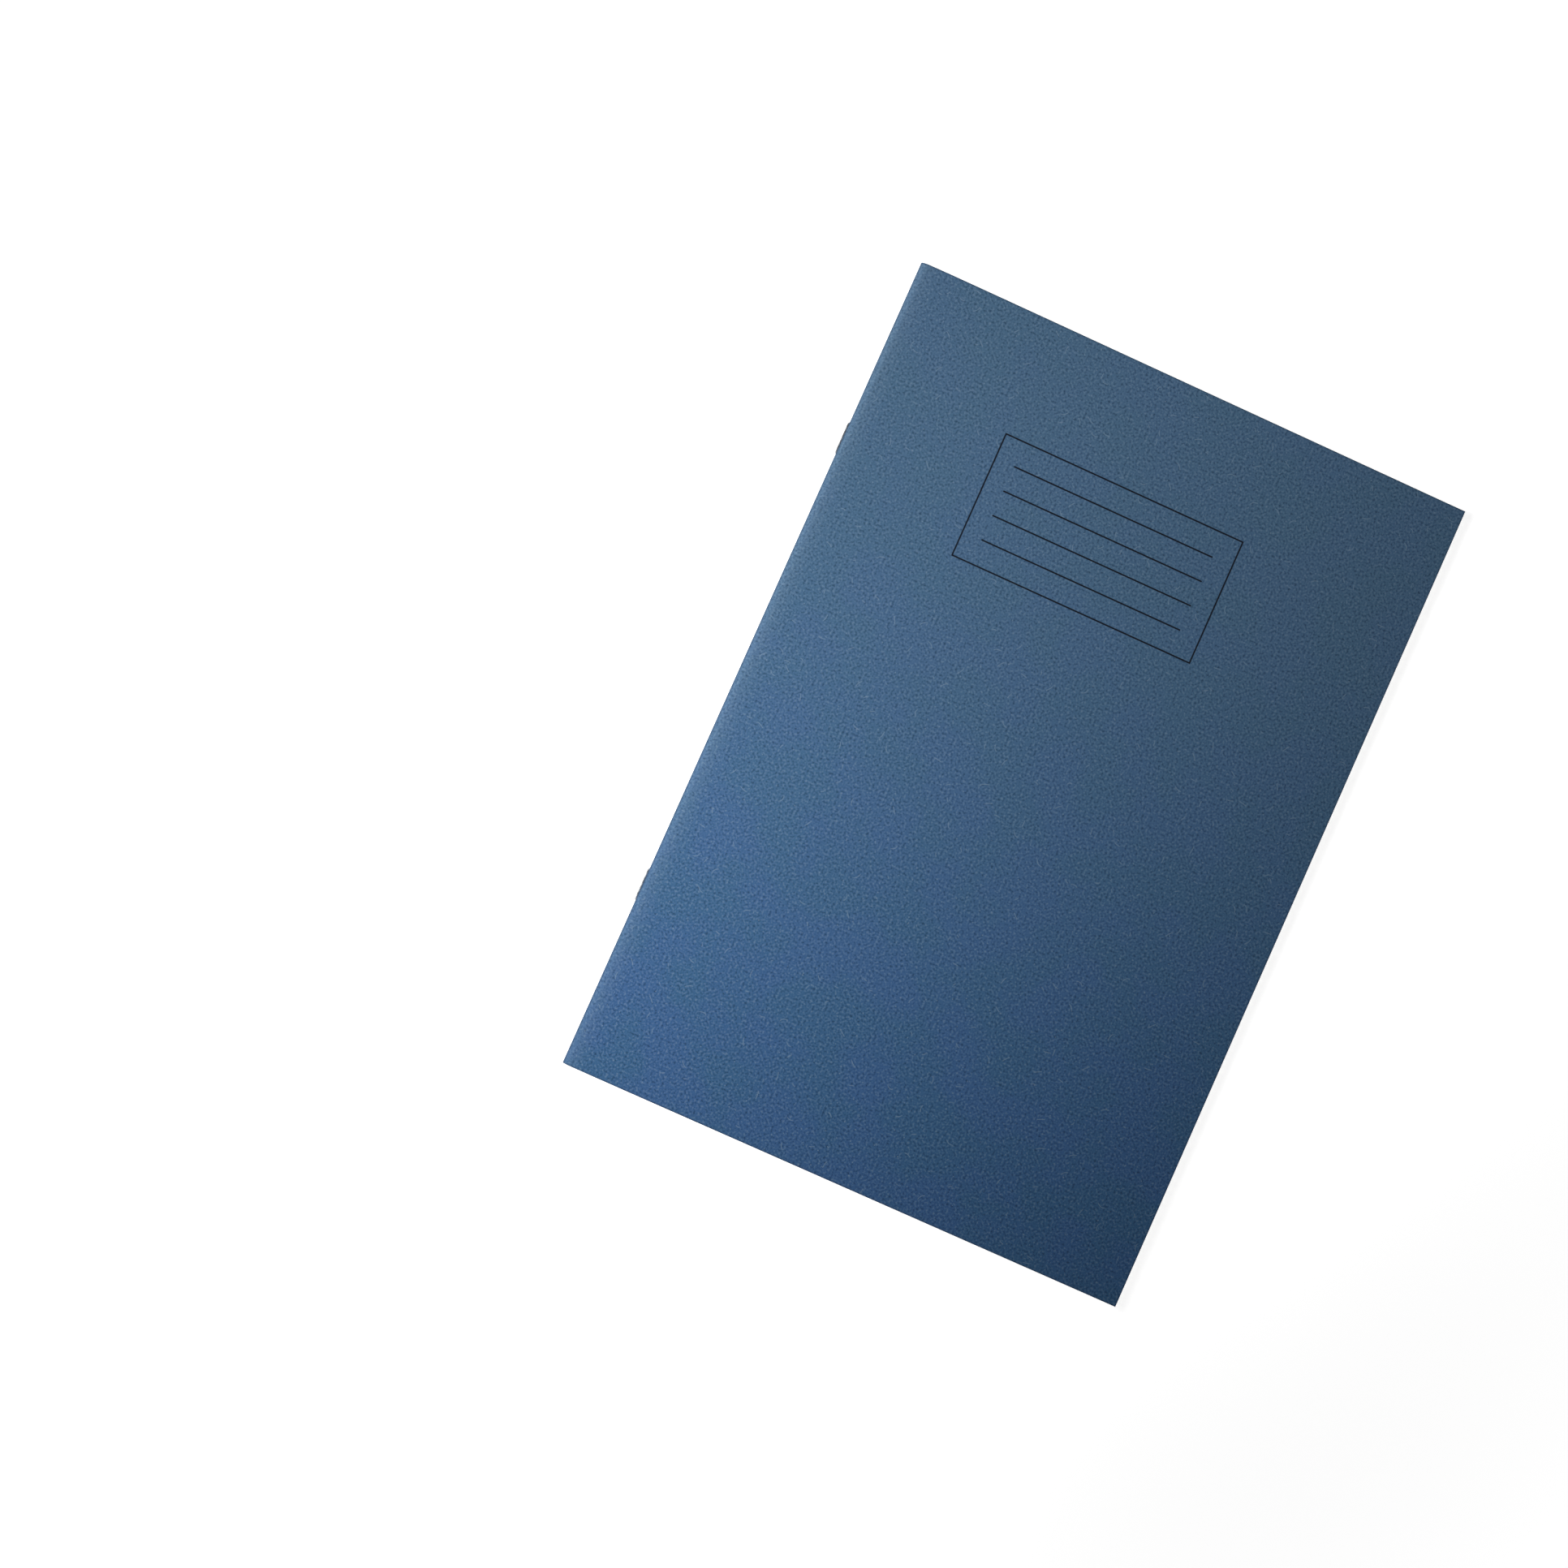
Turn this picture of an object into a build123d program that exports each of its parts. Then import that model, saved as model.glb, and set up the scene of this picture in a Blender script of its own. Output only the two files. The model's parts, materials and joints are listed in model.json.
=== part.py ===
from build123d import *
from math import sqrt
import os

# A stapled school exercise book, closed and lying on its back cover.
# +X runs from the spine to the fore-edge, +Y to the head of the page, +Z out of the front cover.
# The origin is under the middle of the book, on the surface that it lies on. Sizes are millimetres.

# Trimmed page, from the middle of the spine fold to the fore-edge, and from tail to head
page_width = 202.5
page_height = 297.0

# Folded sheets of writing paper, each nested inside the one before
sheet_count = 16
paper_thickness = 0.10
air_gap = 0.02

# Card of the cover, which is one folded sheet around all the others
card_thickness = 0.30

# Radius inside the innermost fold, where the staples' bent legs lie
fold_core_radius = 0.30

# Wire staples through the fold: length of the back, wire, bends and legs
staple_crown = 12.0
staple_wire = 0.50
staple_bend_radius = 0.60
staple_leg = 4.5
staple_from_edge = 65.7
staple_clearance = 0.03

# Room between what stays at the spine and the leaves that turn around it
turning_clearance = 0.15

# Each sheet takes its paper and a little air out of the thickness of one half of the book
sheet_pitch = paper_thickness + air_gap
cover_inner_radius = fold_core_radius + sheet_count * sheet_pitch
spine_radius = cover_inner_radius + card_thickness

# Everything inside the still radius stays with the spine, and the leaves start at the turning radius
still_radius = spine_radius + staple_wire
turning_radius = still_radius + turning_clearance

# The spine's middle line, which every leaf turns about, with the book centred between staples and fore-edge
spine_x = (still_radius - page_width) / 2
spine_plane = Plane(origin=(spine_x, 0, spine_radius), x_dir=(1, 0, 0), z_dir=(0, -1, 0))
staple_plane = Plane(origin=(spine_x, 0, spine_radius))
half_height = page_height / 2

os.makedirs("parts", exist_ok=True)


def sheet_radius(number):
    """Inner radius of a sheet's fold, counted from 1, the outermost sheet."""
    return fold_core_radius + (sheet_count - number) * sheet_pitch


def still_reach(inner, thickness):
    """How far from the spine line a layer runs flat before it meets the still radius."""
    return sqrt(still_radius**2 - (inner + thickness) ** 2)


def turning_start(inner):
    """How far from the spine line the turning leaf of a layer begins."""
    return sqrt(turning_radius**2 - inner**2)


def fold_outline(inner, thickness):
    """Draws a layer folded round the spine line, with a short flat run above it and another below it."""
    outer = inner + thickness
    reach = still_reach(inner, thickness)
    Line((reach, -outer), (0, -outer))
    ThreePointArc((0, -outer), (-outer, 0), (0, outer))
    Polyline((0, outer), (reach, outer), (reach, inner), (0, inner))
    ThreePointArc((0, inner), (-inner, 0), (0, -inner))
    Polyline((0, -inner), (reach, -inner), (reach, -outer))


def leaf_outline(inner, thickness, side):
    """Draws the turning leaf of a layer, above the spine line for side 1 and below it for side -1."""
    start = turning_start(inner)
    middle = side * (inner + thickness / 2)
    with Locations(((start + page_width) / 2, middle)):
        Rectangle(page_width - start, thickness)


def staple_path(middle_y):
    """Draws a staple's wire from one leg's tip, out through the fold, along the spine and back in."""
    inside = staple_wire / 2 - fold_core_radius
    outside = -spine_radius - staple_wire / 2
    leg_y = (staple_crown - staple_wire) / 2
    tip_y = leg_y - staple_leg
    points = [
        (inside, middle_y + tip_y),
        (inside, middle_y + leg_y),
        (outside, middle_y + leg_y),
        (outside, middle_y - leg_y),
        (inside, middle_y - leg_y),
        (inside, middle_y - tip_y),
    ]
    return FilletPolyline(*points, radius=staple_bend_radius)


def write_piece(piece, name):
    """Labels a finished piece and writes it under its name."""
    piece.label = name
    export_step(piece, f"parts/{name}.step")


# The staples, one towards the head and one towards the tail
staple_middle = half_height - staple_from_edge
staple_places = {"staple_head": staple_middle, "staple_tail": -staple_middle}

for staple_name, staple_y in staple_places.items():
    with BuildPart() as staple:
        with BuildLine(staple_plane):
            wire_path = staple_path(staple_y)
        with BuildSketch(Plane(origin=wire_path @ 0, z_dir=wire_path % 0)):
            Circle(staple_wire / 2)
        sweep(path=wire_path)
    write_piece(staple.part, staple_name)

# What the two staples press out of the paper and card that they pass through
with BuildPart() as staple_channel:
    for staple_y in staple_places.values():
        with BuildLine(staple_plane):
            wire_path = staple_path(staple_y)
        with BuildSketch(Plane(origin=wire_path @ 0, z_dir=wire_path % 0)):
            Circle(staple_wire / 2 + staple_clearance)
        sweep(path=wire_path)

# The cover is one card; this is its spine, folded round the sheets and held by the staples
with BuildPart() as cover_spine:
    with BuildSketch(spine_plane):
        with BuildLine():
            fold_outline(cover_inner_radius, card_thickness)
        make_face()
    extrude(amount=half_height, both=True)
    add(staple_channel.part, mode=Mode.SUBTRACT)
write_piece(cover_spine.part, "cover_spine")

# The cover's two panels, which swing on the score lines beside the spine
for side, panel_name in ((1, "cover_front"), (-1, "cover_back")):
    with BuildPart() as cover_panel:
        with BuildSketch(spine_plane):
            leaf_outline(cover_inner_radius, card_thickness, side)
        extrude(amount=half_height, both=True)
    write_piece(cover_panel.part, panel_name)

# Each folded sheet: the fold that the staples hold, the leaf in front of it and the leaf behind it
for number in range(1, sheet_count + 1):
    fold_radius = sheet_radius(number)

    with BuildPart() as sheet_fold:
        with BuildSketch(spine_plane):
            with BuildLine():
                fold_outline(fold_radius, paper_thickness)
            make_face()
        extrude(amount=half_height, both=True)
        add(staple_channel.part, mode=Mode.SUBTRACT)
    write_piece(sheet_fold.part, f"sheet_{number:02d}_fold")

    for side, side_name in ((1, "front"), (-1, "back")):
        with BuildPart() as sheet_leaf:
            with BuildSketch(spine_plane):
                leaf_outline(fold_radius, paper_thickness, side)
            extrude(amount=half_height, both=True)
        write_piece(sheet_leaf.part, f"sheet_{number:02d}_{side_name}_leaf")
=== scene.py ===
"""A stapled exercise book in blue card, lying closed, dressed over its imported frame."""

import json

import bpy
import numpy as np
from mathutils import Matrix, Vector


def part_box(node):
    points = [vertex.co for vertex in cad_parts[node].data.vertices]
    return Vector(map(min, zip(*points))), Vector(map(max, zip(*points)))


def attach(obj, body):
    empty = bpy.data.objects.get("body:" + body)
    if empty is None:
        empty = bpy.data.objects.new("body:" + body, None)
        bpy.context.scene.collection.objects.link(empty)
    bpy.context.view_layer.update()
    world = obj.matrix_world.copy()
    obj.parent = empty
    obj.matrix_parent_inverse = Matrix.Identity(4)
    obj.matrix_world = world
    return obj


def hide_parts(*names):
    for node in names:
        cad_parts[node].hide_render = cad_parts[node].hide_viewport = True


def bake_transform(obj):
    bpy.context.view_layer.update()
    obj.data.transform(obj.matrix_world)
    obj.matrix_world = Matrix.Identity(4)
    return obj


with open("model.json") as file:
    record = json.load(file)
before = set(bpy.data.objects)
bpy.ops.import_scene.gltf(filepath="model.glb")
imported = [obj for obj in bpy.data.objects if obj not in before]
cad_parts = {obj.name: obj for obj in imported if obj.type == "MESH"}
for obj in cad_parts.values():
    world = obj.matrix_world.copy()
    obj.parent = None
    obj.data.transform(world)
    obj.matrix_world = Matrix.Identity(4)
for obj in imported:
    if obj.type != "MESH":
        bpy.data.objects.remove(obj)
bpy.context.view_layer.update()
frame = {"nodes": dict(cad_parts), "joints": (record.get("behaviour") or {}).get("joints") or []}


# The cover, back panel and spine
# One sheet of stiff card, dyed blue in the pulp, is folded round the pages and trimmed flush with them.
# The staples hold it by the fold.

spine_joint = next(joint for joint in frame["joints"] if joint["name"] == "turn_spine")
spine_x, _, spine_z = spine_joint["pos_m"]
panel_low, panel_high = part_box("cover_front")
page_reach = panel_high.x - spine_x
half_height = panel_high.y
card_inside = panel_low.z - spine_z
card_outside = panel_high.z - spine_z
card_middle = (card_inside + card_outside) / 2
card_end = card_middle * np.pi / 2 + page_reach

# Pressing shut flattens the book beside its fold: the share of its thickness that is lost at the crest,
# and the distance over which that loss fades
press_share = 0.34
press_fade = 0.009

card_bend = 0.0014
card_row_count = 13
card_rows = np.linspace(-half_height, half_height, card_row_count)
fold_steps = 14
fold_turn = np.linspace(0, np.pi / 2, fold_steps)[:-1]


def pressed(across):
    """Share of its full thickness that the book has at a distance from the spine line.

    One, less the share lost at the crest, which fades as an exponential with the distance from the crest."""
    return 1 - press_share * np.exp(-(across + card_outside) / press_fade)


def folded_section(height, flat):
    """Half the section of a layer folded at a height round the spine line, as distances across and up.

    A quarter circle of that radius from the crest to the top, then level over the flat distances,
    and all of it pressed."""
    across = np.concatenate([-height * np.cos(fold_turn), flat])
    up = np.concatenate([height * np.sin(fold_turn), np.full(flat.size, height)])
    return across, up * pressed(across)


def section_length(height, flat):
    """Distance from the crest along that half section: radius times angle turned, then the flat distance."""
    return np.concatenate([height * fold_turn, height * np.pi / 2 + flat])


def along_spine(across, up, rows):
    """A section in the spine's frame carried along straight rows of the book: a grid, section first."""
    grid = np.empty((across.size, rows.size, 3))
    grid[..., 0] = spine_x + across[:, None]
    grid[..., 1] = rows
    grid[..., 2] = spine_z + up.reshape(across.size, -1)
    return grid


sharp_angle = np.radians(50)


def finished_piece(name, mesh, corner_map, material):
    """A new piece of a mesh, with its map in metres, its material, and smooth faces between sharp edges."""
    mesh.uv_layers.new(name="metres").uv.foreach_set("vector", corner_map.ravel())
    mesh.shade_smooth()
    mesh.set_sharp_from_angle(angle=sharp_angle)
    mesh.materials.append(material)
    piece = bpy.data.objects.new(name, mesh)
    bpy.context.scene.collection.objects.link(piece)
    return piece


def thin_sheet(name, first, second, first_map, second_map, rim_map, material):
    """Closes two facing grids of points into one thin sheet with a map in metres.

    The quads of the first grid, those of the second turned over, and a strip of quads round the rim
    between them. If the first grid's normal points at the second grid, every quad is turned round."""
    steps, rows = first.shape[:2]
    count = steps * rows
    index = np.arange(count).reshape(steps, rows)
    quads = np.stack([index[:-1, :-1], index[1:, :-1], index[1:, 1:], index[:-1, 1:]], -1).reshape(-1, 4)
    rim = np.concatenate([index[:-1, 0], index[-1, :-1], index[:0:-1, -1], index[0, :0:-1]])
    after = np.roll(rim, -1)
    strip = np.stack([after, rim, rim + count, after + count], -1)
    faces = np.concatenate([quads, quads[:, ::-1] + count, strip])
    corner_map = np.concatenate(
        [
            first_map.reshape(-1, 2)[quads],
            second_map.reshape(-1, 2)[quads[:, ::-1]],
            rim_map.reshape(-1, 2)[strip % count],
        ]
    )
    middle = steps // 2
    normal = np.cross(first[middle + 1, 0] - first[middle, 0], first[middle, 1] - first[middle, 0])
    if normal @ (first[middle, 0] - second[middle, 0]) < 0:
        faces = faces[:, ::-1]
        corner_map = corner_map[:, ::-1]

    points = np.concatenate([first.reshape(-1, 3), second.reshape(-1, 3)])
    mesh = bpy.data.meshes.new(name)
    mesh.vertices.add(len(points))
    mesh.vertices.foreach_set("co", points.ravel())
    mesh.loops.add(faces.size)
    mesh.loops.foreach_set("vertex_index", faces.ravel())
    mesh.polygons.add(len(faces))
    mesh.polygons.foreach_set("loop_start", np.arange(0, faces.size, 4))
    mesh.update(calc_edges=True)
    mesh.validate()
    return finished_piece(name, mesh, corner_map, material)


def map_grid(along, rows):
    """A map in metres over a grid: the distance along the section, then the place along the spine."""
    return np.stack(np.broadcast_arrays(along[:, None], rows[None, :]), -1)


def srgb(red, green, blue):
    """A colour as a picture's levels show it, 0 to 255, in the shader's linear light."""
    level = np.array([red, green, blue]) / 255
    return (*np.where(level > 0.04045, ((level + 0.055) / 1.055) ** 2.4, level / 12.92), 1.0)


def place(tree, kind, inputs=None, **settings):
    """Adds a shader node with its settings, and gives each named input a value or a link."""
    node = tree.nodes.new(kind)
    for setting, value in settings.items():
        setattr(node, setting, value)
    for socket, value in (inputs or {}).items():
        if isinstance(value, bpy.types.NodeSocket):
            tree.links.new(value, node.inputs[socket])
        else:
            node.inputs[socket].default_value = value
    return node


def figure(tree, operation, *values):
    """One step of arithmetic on numbers or sockets."""
    return place(tree, "ShaderNodeMath", dict(enumerate(values)), operation=operation).outputs[0]


def ramp(tree, value, low, high, at_low=0.0, at_high=1.0):
    """A smooth step of a value from one level at low to another at high."""
    inputs = {"Value": value, "From Min": low, "From Max": high, "To Min": at_low, "To Max": at_high}
    return place(tree, "ShaderNodeMapRange", inputs, interpolation_type="SMOOTHSTEP").outputs["Result"]


def tint(tree, share, first, second):
    """Two colours mixed by a share."""
    return place(tree, "ShaderNodeMix", {0: share, 6: first, 7: second}, data_type="RGBA").outputs[2]


def noise(tree, vector, size, detail):
    """Flat fractal noise whose features are about a size in metres across."""
    inputs = {"Vector": vector, "Scale": 1 / size, "Detail": detail}
    return place(tree, "ShaderNodeTexNoise", inputs, noise_dimensions="2D").outputs["Fac"]


def scattered(tree, vector, cell):
    """Flat cells of about a size in metres, each round a point, and three random numbers that each keeps."""
    inputs = {"Vector": vector, "Scale": 1 / cell}
    cells = place(tree, "ShaderNodeTexVoronoi", inputs, voronoi_dimensions="2D").outputs
    chance = place(tree, "ShaderNodeSeparateColor", {"Color": cells["Color"]}).outputs
    return cells, chance


# Pulp is what pressed fibre shows when seen close: a fine mottle, soft clouds, specks and loose hairs
mottle_size, mottle_detail = 0.0008, 2.5
cloud_size, cloud_detail = 0.022, 3.0
speck_cell = 0.0042
speck_radius = 0.00026
speck_blur = 0.012
hair_cell = 0.0075
hair_core, hair_edge = 0.000065, 0.000195
hair_curl = 320.0
hair_chance_least = 0.25
hair_shortest, hair_longest = -0.0004, 0.0014
hair_taper = 0.0002

pulp = bpy.data.node_groups.new("pulp", "ShaderNodeTree")
pulp.interface.new_socket("Map", in_out="INPUT", socket_type="NodeSocketVector")
for output in ("Mottle", "Cloud", "Speck", "Hair"):
    pulp.interface.new_socket(output, in_out="OUTPUT", socket_type="NodeSocketFloat")
pulp_map = place(pulp, "NodeGroupInput").outputs["Map"]

specks, speck_chance = scattered(pulp, pulp_map, speck_cell)
speck_size = figure(pulp, "MULTIPLY", speck_chance[0], speck_radius / speck_cell)
past_speck = figure(pulp, "SUBTRACT", specks["Distance"], speck_size)
speck_mask = ramp(pulp, past_speck, -speck_blur, speck_blur, 1.0, 0.0)

# A hair lies through its cell's point at a random angle, bowed as a parabola, and ends at a random length
hairs, hair_chance = scattered(pulp, pulp_map, hair_cell)
hair_place = place(pulp, "ShaderNodeVectorMath", {0: pulp_map, 1: hairs["Position"]}, operation="SUBTRACT")
hair_angle = figure(pulp, "MULTIPLY", hair_chance[0], 2 * np.pi)
hair_inputs = {"Vector": hair_place.outputs[0], "Angle": hair_angle}
hair_turned = place(pulp, "ShaderNodeVectorRotate", hair_inputs, rotation_type="Z_AXIS")
hair_axes = place(pulp, "ShaderNodeSeparateXYZ", {0: hair_turned.outputs[0]}).outputs
hair_bow = figure(pulp, "MULTIPLY", figure(pulp, "SUBTRACT", hair_chance[1], 0.5), 2 * hair_curl)
hair_bowed = figure(pulp, "MULTIPLY", figure(pulp, "POWER", hair_axes[0], 2.0), hair_bow)
hair_off = figure(pulp, "ABSOLUTE", figure(pulp, "ADD", hair_axes[1], hair_bowed))
hair_half_length = ramp(pulp, hair_chance[2], hair_chance_least, 1.0, hair_shortest, hair_longest)
hair_past_end = figure(pulp, "SUBTRACT", figure(pulp, "ABSOLUTE", hair_axes[0]), hair_half_length)
hair_mask = figure(
    pulp,
    "MULTIPLY",
    ramp(pulp, hair_off, hair_core, hair_edge, 1.0, 0.0),
    ramp(pulp, hair_past_end, -hair_taper, hair_taper, 1.0, 0.0),
)
pulp_masks = {
    "Mottle": noise(pulp, pulp_map, mottle_size, mottle_detail),
    "Cloud": noise(pulp, pulp_map, cloud_size, cloud_detail),
    "Speck": speck_mask,
    "Hair": hair_mask,
}
place(pulp, "NodeGroupOutput", pulp_masks)

# The levels of the noise between which fibre runs from low to high, and clouds from one colour to the other
mottle_low, mottle_middle, mottle_high = 0.2, 0.5, 0.8
cloud_low, cloud_high = 0.35, 0.65


def fibre_material(name):
    """A new material on a piece's map in metres, with the map's two axes and the pulp's masks."""
    material = bpy.data.materials.new(name)
    material.use_nodes = True
    tree = material.node_tree
    metres = place(tree, "ShaderNodeUVMap", uv_map="metres").outputs[0]
    axes = place(tree, "ShaderNodeSeparateXYZ", {0: metres}).outputs
    fibre = place(tree, "ShaderNodeGroup", {"Map": metres}, node_tree=pulp).outputs
    return material, tree, axes, fibre


def fibre_finish(tree, colour, mottle, rough, shine, grain_strength, grain_depth):
    """Gives the shader a colour, one shine all over, and a roughness and a grain that follow the mottle."""
    shader = tree.nodes["Principled BSDF"]
    tree.links.new(colour, shader.inputs["Base Color"])
    tree.links.new(ramp(tree, mottle, mottle_low, mottle_high, *rough), shader.inputs["Roughness"])
    shader.inputs["Specular IOR Level"].default_value = shine
    grain = place(
        tree,
        "ShaderNodeBump",
        {"Height": mottle, "Strength": grain_strength, "Distance": grain_depth},
    )
    tree.links.new(grain.outputs[0], shader.inputs["Normal"])


card_teal = srgb(65, 107, 150)
card_violet = srgb(67, 106, 156)
# The greyer blue that the card turns to towards its head
card_headward_grey = srgb(90, 119, 141)
card_pale = srgb(127, 154, 179)
card_dark = srgb(36, 58, 82)
card_rough = (0.68, 0.54)
card_shine = 0.09
card_grain_strength, card_grain_depth = 0.1, 0.00006
pale_share, dark_share = 0.52, 0.7
speck_share, hair_share = 0.6, 0.7
# Where along the page the card turns greyer towards the head, and how far it goes
head_grey_start, head_grey_end, head_grey_share = -0.146, 0.12, 0.6
rub_reach, rub_share = 0.010, 0.5
# Width and strength of the painted shade along the card's cut edges
edge_shade_width, edge_shade_share = 0.0007, 0.55
# Where painted shade darkens the card beside the fold's crest, and how strongly
crest_shade_start, crest_shade_end, crest_shade_share = 0.0008, 0.0021, 0.45

# The inside and the cut edges take their map this far beside the outside's, so nothing printed shows on them
face_apart = 2.0
inside_shift = np.array([0.0, face_apart])
rim_shift = np.array([0.0, -face_apart])


def dyed_card(name, printing=None, print_colour=None):
    """Matte card dyed in the pulp, with ink laid over it where a function of its map says so.

    Two near blues lie in clouds, turn greyer towards the head, and are mottled pale and dark. Specks, hairs
    and the rubbed fold are pale; painted shade darkens the cut edges and the crest of the fold."""
    material, tree, axes, fibre = fibre_material(name)
    mottle = fibre["Mottle"]
    from_crest = figure(tree, "ABSOLUTE", axes[0])
    along_page = figure(tree, "WRAP", axes[1], face_apart / 2, -face_apart / 2)

    colour = tint(tree, ramp(tree, fibre["Cloud"], cloud_low, cloud_high), card_teal, card_violet)
    # The card turns greyer towards the head.
    head_grey = ramp(tree, along_page, head_grey_start, head_grey_end, 0.0, head_grey_share)
    colour = tint(tree, head_grey, colour, card_headward_grey)
    pale_fibre = ramp(tree, mottle, mottle_middle, mottle_high, 0.0, pale_share)
    colour = tint(tree, pale_fibre, colour, card_pale)
    dark_fibre = ramp(tree, mottle, mottle_middle, mottle_low, 0.0, dark_share)
    colour = tint(tree, dark_fibre, colour, card_dark)

    speck = figure(tree, "MULTIPLY", fibre["Speck"], speck_share)
    hair = figure(tree, "MULTIPLY", fibre["Hair"], hair_share)
    rubbed = figure(tree, "MULTIPLY", ramp(tree, from_crest, 0.0, rub_reach, rub_share, 0.0), mottle)
    rubbed = figure(tree, "MULTIPLY", rubbed, figure(tree, "LESS_THAN", axes[1], face_apart / 2))
    pale = figure(tree, "MAXIMUM", figure(tree, "MAXIMUM", speck, hair), rubbed)
    colour = tint(tree, pale, colour, card_pale)

    # Painted shade: the card darkens towards its cut edges at head, tail and fore-edge.
    end_edge_shade = ramp(tree, figure(tree, "ABSOLUTE", along_page), half_height - edge_shade_width, half_height)
    fore_edge_shade = ramp(tree, from_crest, card_end - edge_shade_width, card_end)
    edge_shade = figure(tree, "MULTIPLY", figure(tree, "MAXIMUM", end_edge_shade, fore_edge_shade), edge_shade_share)
    # Painted shade along the crest of the fold, fading out about two millimetres from it.
    crest_shade = ramp(tree, from_crest, crest_shade_start, crest_shade_end, crest_shade_share, 0.0)
    colour = tint(tree, figure(tree, "MAXIMUM", edge_shade, crest_shade), colour, card_dark)

    if printing:
        colour = tint(tree, printing(tree, axes, mottle), colour, print_colour)
    fibre_finish(tree, colour, mottle, card_rough, card_shine, card_grain_strength, card_grain_depth)
    return material


def card_half(name, flat, side, with_fold, material):
    """Half the folded card over flat distances from the spine line, above it for side 1, below it for -1."""
    first_step = 0 if with_fold else fold_turn.size
    grids = []
    for height in (card_outside, card_inside):
        across, up = folded_section(height, flat)
        grids.append(along_spine(across, side * up, card_rows)[first_step:])
    along = side * section_length(card_middle, flat)[first_step:]
    card_map = map_grid(along, card_rows)
    return thin_sheet(name, *grids, card_map, card_map + inside_shift, card_map + rim_shift, material)


def spaced(near, bend, far, fine, coarse):
    """Distances from near to far: even fine steps over the part that bends, then coarse ones."""
    return np.concatenate([np.linspace(near, bend, fine), np.linspace(bend, far, coarse)[1:]])


# The spine piece carries the card over the crest and a short way towards the front; the back half runs
# from the crest to the fore-edge, finely stepped beside the fold.
panel_coarse_steps = 14
back_fine_reach, back_fine_steps = 0.008, 22
spine_flat_steps = 8

plain_card = dyed_card("dyed_card")
back_flat = spaced(0, back_fine_reach, page_reach, back_fine_steps, panel_coarse_steps)
back_card = card_half("card_back", back_flat, -1, True, plain_card)
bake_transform(back_card)
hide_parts("cover_back", "cover_spine")

spine_flat = np.linspace(0, card_bend, spine_flat_steps)
spine_card = card_half("card_spine", spine_flat, 1, True, plain_card)
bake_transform(spine_card)
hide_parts("cover_spine")


# The cover, front panel
# The same card runs on past the fold to the fore-edge. A box with four writing lines for a name is printed
# on it in dark ink, a quarter of the way down, and the panel is a piece of its own from where the spine ends.

print_left, print_right = -0.05225, 0.03679
print_top, print_bottom = 0.1069, 0.06166
rule_left, rule_right = -0.04525, 0.02935
rule_top = 0.09785
rule_gap = 0.0091
rule_count = 4
print_stroke = 0.00054
print_blur = 0.00005
print_ink = srgb(9, 13, 22)
print_thin, print_full_mottle = 0.86, 0.42
to_map = card_end - page_reach - spine_x


def away_from(tree, value, middle):
    """How far a value is from a middle, either way."""
    return figure(tree, "ABSOLUTE", figure(tree, "SUBTRACT", value, middle))


def within(tree, distance, reach, blur):
    """One where a distance is within a reach, with a soft edge."""
    return ramp(tree, distance, reach - blur, reach + blur, 1.0, 0.0)


def level_lines(tree, along_page, first, gap, count, stroke, blur):
    """Where the ink of a number of level lines lies.

    The place is within half a stroke of a whole number of gaps below the first line, up to the last line."""
    gaps_down = figure(tree, "DIVIDE", figure(tree, "SUBTRACT", first, along_page), gap)
    from_whole = away_from(tree, gaps_down, figure(tree, "ROUND", gaps_down))
    lines = within(tree, figure(tree, "MULTIPLY", from_whole, gap), stroke / 2, blur)
    counted = figure(tree, "LESS_THAN", away_from(tree, gaps_down, (count - 1) / 2), count / 2)
    return figure(tree, "MULTIPLY", lines, counted)


def name_panel(tree, axes, mottle):
    """Where the name panel's ink lies on the front panel's map, thinner where the fibre is low.

    The box is where the larger of the two distances past its half sizes is within half a stroke of nothing,
    so its corners are square. The rules are level lines inside their own ends."""
    middle_x = (print_left + print_right) / 2 + to_map
    middle_y = (print_top + print_bottom) / 2
    past_x = figure(tree, "SUBTRACT", away_from(tree, axes[0], middle_x), (print_right - print_left) / 2)
    past_y = figure(tree, "SUBTRACT", away_from(tree, axes[1], middle_y), (print_top - print_bottom) / 2)
    from_box = figure(tree, "ABSOLUTE", figure(tree, "MAXIMUM", past_x, past_y))
    box = within(tree, from_box, print_stroke / 2, print_blur)

    rules = level_lines(tree, axes[1], rule_top, rule_gap, rule_count, print_stroke, print_blur)
    from_rule_middle = away_from(tree, axes[0], (rule_left + rule_right) / 2 + to_map)
    inside_ends = within(tree, from_rule_middle, (rule_right - rule_left) / 2, print_blur)
    rules = figure(tree, "MULTIPLY", rules, inside_ends)
    ink_take = ramp(tree, mottle, mottle_low, print_full_mottle, print_thin, 1.0)
    return figure(tree, "MULTIPLY", figure(tree, "MAXIMUM", box, rules), ink_take)


front_fine_reach, front_fine_steps = 0.009, 20

printed_card = dyed_card("printed_card", name_panel, print_ink)
front_flat = spaced(card_bend, front_fine_reach, page_reach, front_fine_steps, panel_coarse_steps)
front_card = card_half("card_front", front_flat, 1, False, printed_card)
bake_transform(front_card)
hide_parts("cover_front")


# The sheets
# Sixteen sheets of white writing paper, ruled both sides with grey feint lines and a red margin, are nested
# and folded once. The staples hold each by its fold, and each of its two leaves is a piece with half the
# fold.

sheet_count = sum(name.endswith("_fold") for name in frame["nodes"])
leaf_low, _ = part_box("sheet_01_front_leaf")
next_low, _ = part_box("sheet_02_front_leaf")

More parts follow.
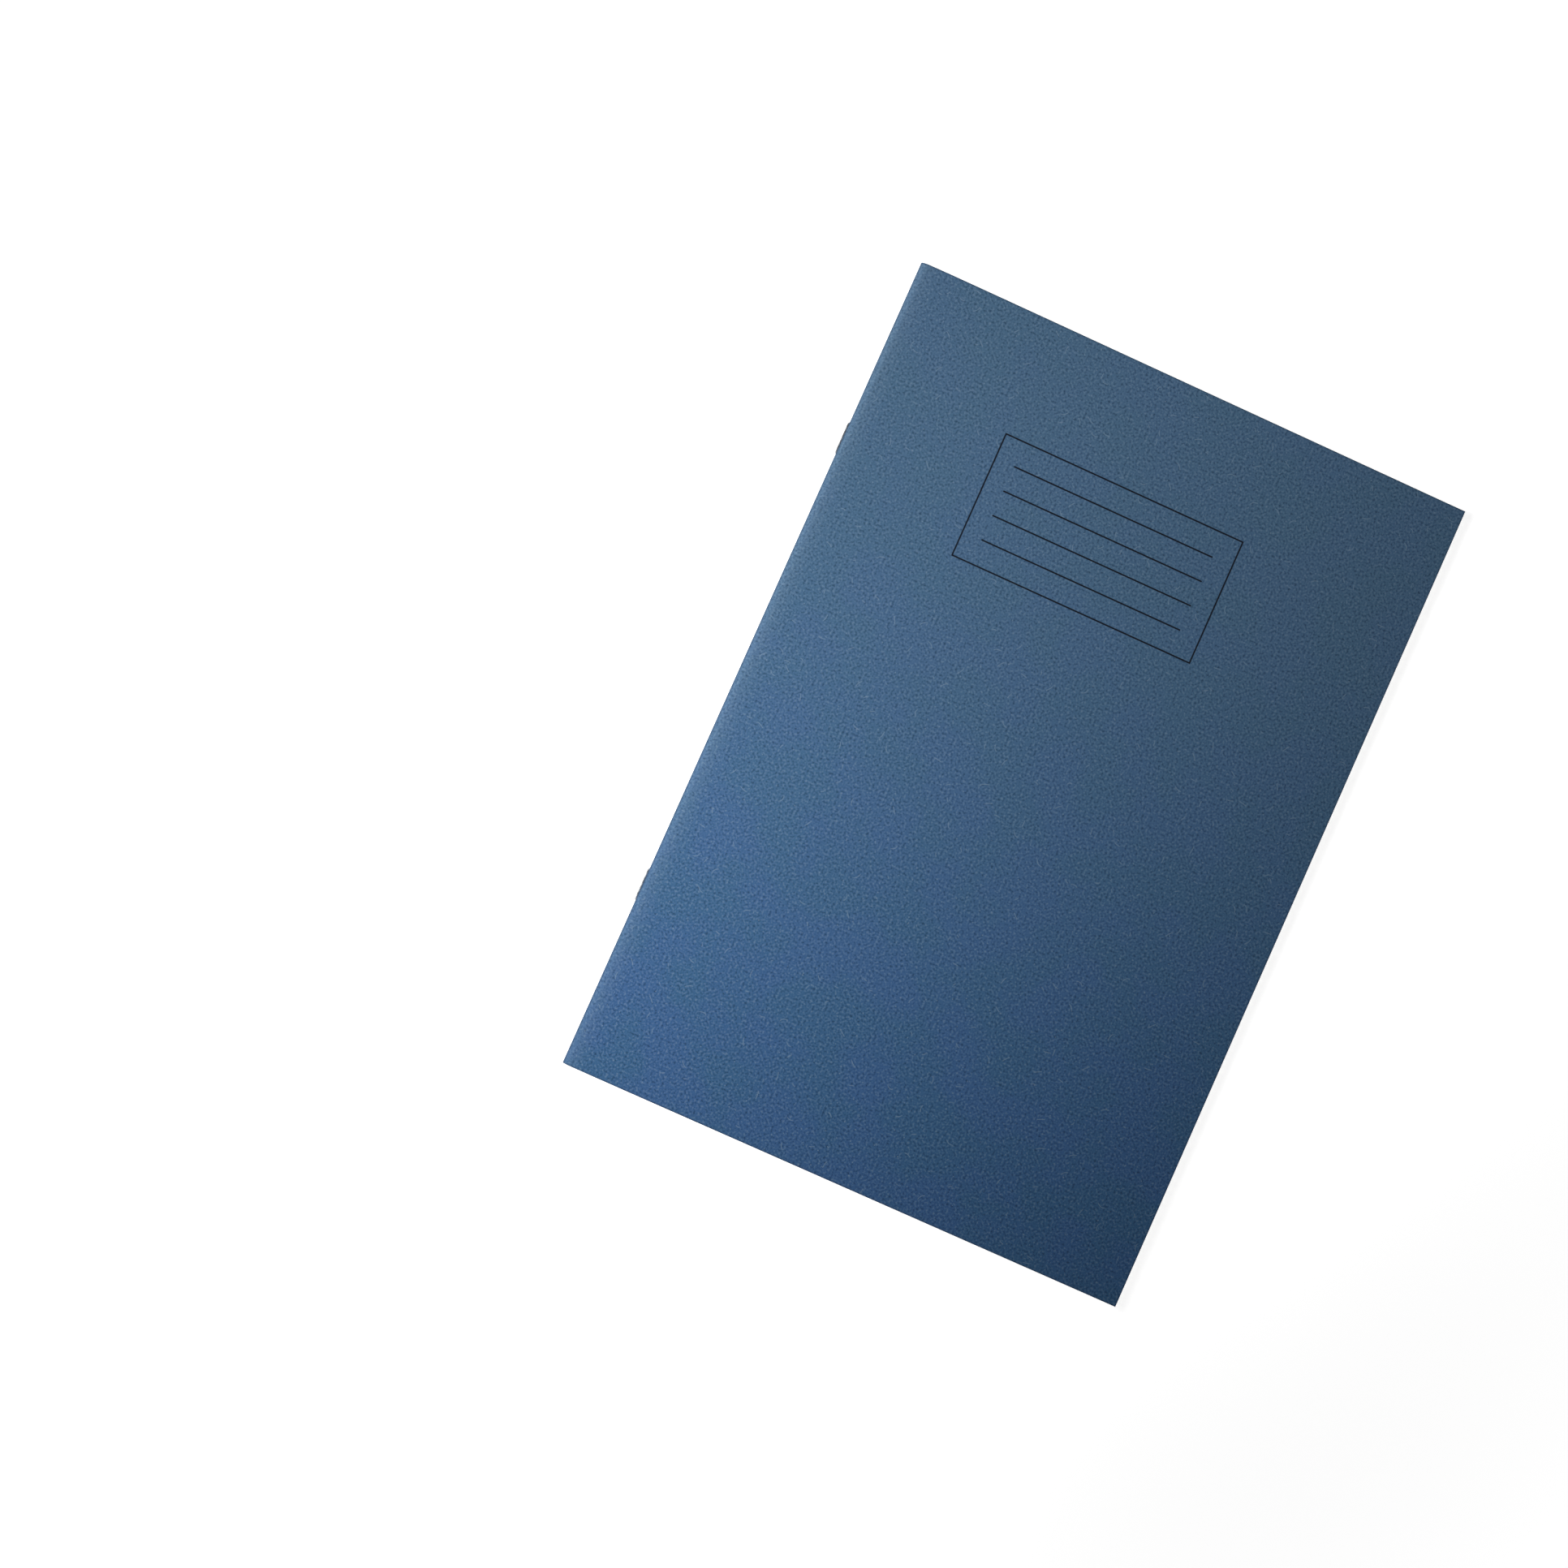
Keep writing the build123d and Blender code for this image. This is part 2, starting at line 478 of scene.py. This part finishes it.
# The rough faces of the paper all but touch: a leaf takes up this share of the step between two sheets
paper_share = 0.97
paper_thickness = paper_share * (leaf_low.z - next_low.z)

# How far from the spine line a leaf has bent to its full angle, for the outermost sheet and for the innermost
front_bend = (0.010, 0.027)
back_bend = (0.006, 0.016)

feint_drop = 0.0203
feint_first = half_height - feint_drop
feint_gap = 0.00806
feint_count = 34
feint_stroke = 0.00027
margin_in = 0.0265
margin_stroke = 0.00030
ink_blur = 0.00004
ink_thin, ink_thin_mottle, ink_full_mottle = 0.7, 0.25, 0.5
paper_white = srgb(243, 242, 240)
paper_grey = srgb(239, 238, 236)
paper_edge = srgb(242, 240, 236)
paper_rough = (0.82, 0.7)
paper_shine = 0.2
paper_grain_strength, paper_grain_depth = 0.12, 0.00002
feint_grey = srgb(154, 153, 163)
margin_red = srgb(229, 142, 130)

# Where the cut edges of the paper lie on its map
edge_mark = -0.05


def ruled_paper(name):
    """Smooth writing paper with faint clouds of fibre, feint lines down the page and a margin at its left.

    The map's first axis counts from the page's left edge, and is below nothing on the cut edges."""
    material, tree, axes, fibre = fibre_material(name)
    mottle = fibre["Mottle"]
    half_cloud = figure(tree, "MULTIPLY", fibre["Cloud"], 0.5)
    formation = figure(tree, "MULTIPLY_ADD", mottle, 0.5, half_cloud)
    colour = tint(tree, ramp(tree, formation, cloud_low, cloud_high), paper_grey, paper_white)

    ink_take = ramp(tree, mottle, ink_thin_mottle, ink_full_mottle, ink_thin, 1.0)
    feint = level_lines(tree, axes[1], feint_first, feint_gap, feint_count, feint_stroke, ink_blur)
    colour = tint(tree, figure(tree, "MULTIPLY", feint, ink_take), colour, feint_grey)
    margin = within(tree, away_from(tree, axes[0], margin_in), margin_stroke / 2, ink_blur)
    colour = tint(tree, figure(tree, "MULTIPLY", margin, ink_take), colour, margin_red)

    colour = tint(tree, figure(tree, "LESS_THAN", axes[0], edge_mark / 2), colour, paper_edge)
    fibre_finish(tree, colour, mottle, paper_rough, paper_shine, paper_grain_strength, paper_grain_depth)
    return material


writing_paper = ruled_paper("ruled_paper")
paper_row_count = 9
paper_rows = np.linspace(-half_height, half_height, paper_row_count)
leaf_fine_reach, leaf_fine_steps, leaf_coarse_steps = 0.042, 52, 12
leaf_flat = spaced(0, leaf_fine_reach, page_reach, leaf_fine_steps, leaf_coarse_steps)
loose_seed = 16
loose = np.random.default_rng(loose_seed)
loose_least = 0.15


def settled_heights():
    """Height of each leaf of one half over the middle of the book at the fore-edge, at its tail and its head.

    The room that the paper leaves under the cover is shared out at random between the leaves, which stay
    in order: the room shared out so far, plus the thickness of the leaves beneath."""
    share = loose_least + loose.random((sheet_count + 1, 2))
    room = card_inside - sheet_count * paper_thickness
    gaps = room * share / share.sum(0)
    beneath = paper_thickness * np.arange(sheet_count)[:, None]
    return (np.cumsum(gaps[:-1], 0) + beneath)[::-1]


def leaf_grid(height, settled, side):
    """One face of a leaf, from the crest of its fold: a folded section that eases into its settled height.

    The share of the settled height is a smooth step of the distance from the spine to the fore-edge."""
    across, up = folded_section(height, leaf_flat)
    step = np.clip(across / page_reach, 0, 1)
    share = (step * step * (3 - 2 * step))[:, None]
    at_rows = np.interp(paper_rows, [-half_height, half_height], settled)[None, :]
    return along_spine(across, side * (up[:, None] * (1 - share) + at_rows * share), paper_rows)


for side, side_name, bends in ((1, "front", front_bend), (-1, "back", back_bend)):
    settled = settled_heights()
    for number in range(1, sheet_count + 1):
        node = f"sheet_{number:02d}_{side_name}_leaf"
        low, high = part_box(node)
        inner = min(abs(low.z - spine_z), abs(high.z - spine_z))
        outer = inner + paper_thickness
        upper, lower = (outer, inner) if side > 0 else (inner, outer)
        rest = settled[number - 1]
        along = section_length((inner + outer) / 2, leaf_flat)
        leaf = thin_sheet(
            f"leaf_{number:02d}_{side_name}",
            leaf_grid(upper, rest + (upper - inner), side),
            leaf_grid(lower, rest + (lower - inner), side),
            map_grid(along, paper_rows),
            map_grid(along[-1] - along, paper_rows),
            map_grid(np.full(along.size, edge_mark), paper_rows),
            writing_paper,
        )
        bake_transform(leaf)
        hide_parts(node, f"sheet_{number:02d}_fold")


# The staples
# Two lengths of bright drawn steel wire are driven through the fold from outside. Each one's back lies
# along the spine, and its two legs are bent towards each other inside the middle fold.

wire_low, wire_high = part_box("staple_head")
wire_radius = (wire_high.z - wire_low.z) / 2
wire_bend = 0.0006
wire_leg = 0.0045
wire_corner_steps = 8
wire_sides = 14


def wire_path(low, high):
    """Middle line of a staple in its box, on the level of the spine line: leg, corner, back, corner, leg.

    The five straight runs meet in quarter circles, each drawn about its own centre."""
    inside, outside = high.x - wire_radius, low.x + wire_radius
    tail, head = low.y + wire_radius, high.y - wire_radius
    turn = np.linspace(0, np.pi / 2, wire_corner_steps)
    leaving = wire_bend * (1 - np.cos(turn))
    nearing = wire_bend * (1 - np.sin(turn))
    inner_corner = np.stack([inside - leaving, head - nearing], -1)
    outer_corner = np.stack([outside + nearing, head - leaving], -1)
    half = np.concatenate([[[inside, head - wire_leg]], inner_corner, outer_corner])
    other = half[::-1] * [1, -1] + [0, tail + head]
    flat = np.concatenate([half, other])
    return np.column_stack([flat, np.full(len(flat), spine_z)])


def round_wire(name, path, material):
    """A round wire carried along a flat path, closed at both ends.

    Each ring stands square to the path: a circle in the plane of the path's sideways direction and of
    the vertical. The map runs along the wire and round it, in metres."""
    ahead = np.gradient(path, axis=0)
    ahead /= np.linalg.norm(ahead, axis=1, keepdims=True)
    up = np.array([0.0, 0.0, 1.0])
    sideways = np.cross(ahead, up)
    angle = np.linspace(0, 2 * np.pi, wire_sides, endpoint=False)
    rings = path[:, None] + wire_radius * (
        np.cos(angle)[None, :, None] * sideways[:, None] + np.sin(angle)[None, :, None] * up
    )
    count = len(path)
    index = np.arange(count * wire_sides).reshape(count, wire_sides)
    following = np.roll(index, -1, axis=1)
    quads = np.stack([index[:-1], index[1:], following[1:], following[:-1]], -1).reshape(-1, 4)
    ends = [index[0].tolist(), index[-1, ::-1].tolist()]
    mesh = bpy.data.meshes.new(name)
    mesh.from_pydata(rings.reshape(-1, 3).tolist(), [], quads.tolist() + ends)
    mesh.update()
    length = np.concatenate([[0], np.cumsum(np.linalg.norm(np.diff(path, axis=0), axis=1))])
    corners = np.empty(len(mesh.loops), dtype=np.int32)
    mesh.loops.foreach_get("vertex_index", corners)
    wire_map = np.stack([length[corners // wire_sides], wire_radius * angle[corners % wire_sides]], -1)
    return finished_piece(name, mesh, wire_map, material)


steel_bright = srgb(152, 154, 157)
steel_dull = srgb(98, 100, 104)
tarnish_size, tarnish_detail = 0.0015, 3.0
tarnish_low, tarnish_high = 0.35, 0.7

# Drawing through a die leaves fine lines along the wire
draw_size, draw_detail = 0.00012, 2.0
draw_stretch = (0.06, 1.0, 1.0)
draw_low, draw_high = 0.3, 0.7
wire_rough = (0.24, 0.42)
draw_strength, draw_depth = 0.2, 0.00002

drawn_wire = bpy.data.materials.new("drawn_wire")
drawn_wire.use_nodes = True
wire_tree = drawn_wire.node_tree
wire_shader = wire_tree.nodes["Principled BSDF"]
wire_metres = place(wire_tree, "ShaderNodeUVMap", uv_map="metres").outputs[0]
wire_stretch = place(wire_tree, "ShaderNodeMapping", {"Vector": wire_metres, "Scale": draw_stretch})
wire_lines = noise(wire_tree, wire_stretch.outputs[0], draw_size, draw_detail)
wire_tarnish = noise(wire_tree, wire_metres, tarnish_size, tarnish_detail)
tarnished = ramp(wire_tree, wire_tarnish, tarnish_low, tarnish_high)
wire_tree.links.new(tint(wire_tree, tarnished, steel_bright, steel_dull), wire_shader.inputs["Base Color"])
wire_dullness = ramp(wire_tree, wire_lines, draw_low, draw_high, *wire_rough)
wire_tree.links.new(wire_dullness, wire_shader.inputs["Roughness"])
wire_shader.inputs["Metallic"].default_value = 1.0
wire_bump = place(
    wire_tree,
    "ShaderNodeBump",
    {"Height": wire_lines, "Strength": draw_strength, "Distance": draw_depth},
)
wire_tree.links.new(wire_bump.outputs[0], wire_shader.inputs["Normal"])

for end in ("head", "tail"):
    staple = round_wire(f"wire_{end}", wire_path(*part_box(f"staple_{end}")), drawn_wire)
    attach(staple, "spine")
    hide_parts(f"staple_{end}")


# The floor, the lights and the camera
# A white floor keeps a faint shadow. Two soft lamps stand over the spine's side, and a pale band along
# the horizon lights upright edges. The camera looks almost straight down, with the book turned clockwise.

floor_half = 6.0
floor_drop = 0.0002
floor_white = (0.86, 0.86, 0.86, 1.0)

# The floor's own glow near the book and far from it, and the distances between which it grows
floor_lift_near, floor_lift_far = 0.82, 0.985
floor_lift_start, floor_lift_end = 0.2, 0.45


def seen_straight(tree):
    """One for rays from the camera, in a mirror or through glass too, and nothing for the light given off."""
    rays = place(tree, "ShaderNodeLightPath").outputs
    mirrored = figure(tree, "MAXIMUM", rays["Is Glossy Ray"], rays["Is Transmission Ray"])
    return figure(tree, "MAXIMUM", rays["Is Camera Ray"], mirrored)


floor_material = bpy.data.materials.new("white_floor")
floor_material.use_nodes = True
floor_tree = floor_material.node_tree
floor_shader = floor_tree.nodes["Principled BSDF"]
floor_shader.inputs["Base Color"].default_value = floor_white
floor_shader.inputs["Roughness"].default_value = 1.0
floor_shader.inputs["Specular IOR Level"].default_value = 0.0
floor_point = place(floor_tree, "ShaderNodeTexCoord").outputs["Object"]
floor_away = place(floor_tree, "ShaderNodeVectorMath", {0: floor_point}, operation="LENGTH").outputs["Value"]
floor_lift = ramp(floor_tree, floor_away, floor_lift_start, floor_lift_end, floor_lift_near, floor_lift_far)
floor_shown = figure(floor_tree, "MULTIPLY", seen_straight(floor_tree), floor_lift)
floor_glow = place(floor_tree, "ShaderNodeEmission", {"Strength": floor_shown})
floor_sum = place(floor_tree, "ShaderNodeAddShader", {0: floor_shader.outputs[0], 1: floor_glow.outputs[0]})
floor_tree.links.new(floor_sum.outputs[0], floor_tree.nodes["Material Output"].inputs["Surface"])

floor_mesh = bpy.data.meshes.new("floor")
floor_signs = np.array([[-1, -1, 0], [1, -1, 0], [1, 1, 0], [-1, 1, 0]])
floor_corners = floor_half * floor_signs - [0, 0, floor_drop]
floor_mesh.from_pydata(floor_corners.tolist(), [], [(0, 1, 2, 3)])
floor_mesh.materials.append(floor_material)
floor = bpy.data.objects.new("floor", floor_mesh)
bpy.context.scene.collection.objects.link(floor)

lamp_size = 0.24
lamp_spread = np.radians(112)


def soft_lamp(name, stands, aims, power):
    """A round soft white lamp behind a grid that narrows its light, at one point and aimed at another."""
    lamp_data = bpy.data.lights.new(name, "AREA")
    lamp_data.shape = "DISK"
    lamp_data.size = lamp_size
    lamp_data.spread = lamp_spread
    lamp_data.energy = power
    lamp = bpy.data.objects.new(name, lamp_data)
    lamp.location = stands
    lamp.rotation_euler = (Vector(aims) - Vector(stands)).to_track_quat("-Z", "Y").to_euler()
    lamp.visible_camera = False
    bpy.context.scene.collection.objects.link(lamp)


soft_lamp("spine_lamp", stands=(-0.191, -0.110, 0.27), aims=(-0.166, -0.142, 0.0), power=0.305)
soft_lamp("side_lamp", stands=(-0.271, 0.018, 0.347), aims=(0.084, 0.327, 0.0), power=0.584)

# The sky's strength for the light it gives: overhead, at the horizon and below it, and the heights of
# the directions at which it has faded from the horizon's
sky_zenith, sky_horizon, sky_below = 0.022, 5.0, 0.6
sky_horizon_top, sky_below_top = 0.2, -0.02

sky = bpy.data.worlds.new("white_sky")
sky.use_nodes = True
sky_tree = sky.node_tree
sky_background = sky_tree.nodes["Background"]
sky_background.inputs["Color"].default_value = (1.0, 1.0, 1.0, 1.0)
sky_way = place(sky_tree, "ShaderNodeTexCoord").outputs["Generated"]
sky_up = place(sky_tree, "ShaderNodeSeparateXYZ", {0: sky_way}).outputs[2]
sky_over = ramp(sky_tree, sky_up, 0.0, sky_horizon_top, sky_horizon, sky_zenith)
sky_under = ramp(sky_tree, sky_up, sky_below_top, 0.0, sky_below, sky_horizon)
sky_fill = figure(sky_tree, "MINIMUM", sky_over, sky_under)
sky_seen = seen_straight(sky_tree)
sky_strength = place(sky_tree, "ShaderNodeMix", {0: sky_seen, 2: sky_fill, 3: 1.0}).outputs[0]
sky_tree.links.new(sky_strength, sky_background.inputs["Strength"])
bpy.context.scene.world = sky

camera_lens, camera_sensor = 54.15, 36.0
camera_place = Vector((-0.1084, -0.0545, 0.8))
camera_look = Vector((0.0450, 0.0276, -0.9986)).normalized()
camera_up = Vector((-0.4091, 0.9125, 0.0068)).normalized()
camera_data = bpy.data.cameras.new("camera")
camera_data.lens = camera_lens
camera_data.sensor_width = camera_sensor
camera = bpy.data.objects.new("camera", camera_data)
camera_right = camera_look.cross(camera_up).normalized()
camera_axes = Matrix((camera_right, camera_right.cross(camera_look), -camera_look)).transposed()
camera.matrix_world = Matrix.Translation(camera_place) @ camera_axes.to_4x4()
bpy.context.scene.collection.objects.link(camera)
bpy.context.scene.camera = camera
bpy.context.scene.view_settings.view_transform = "Standard"
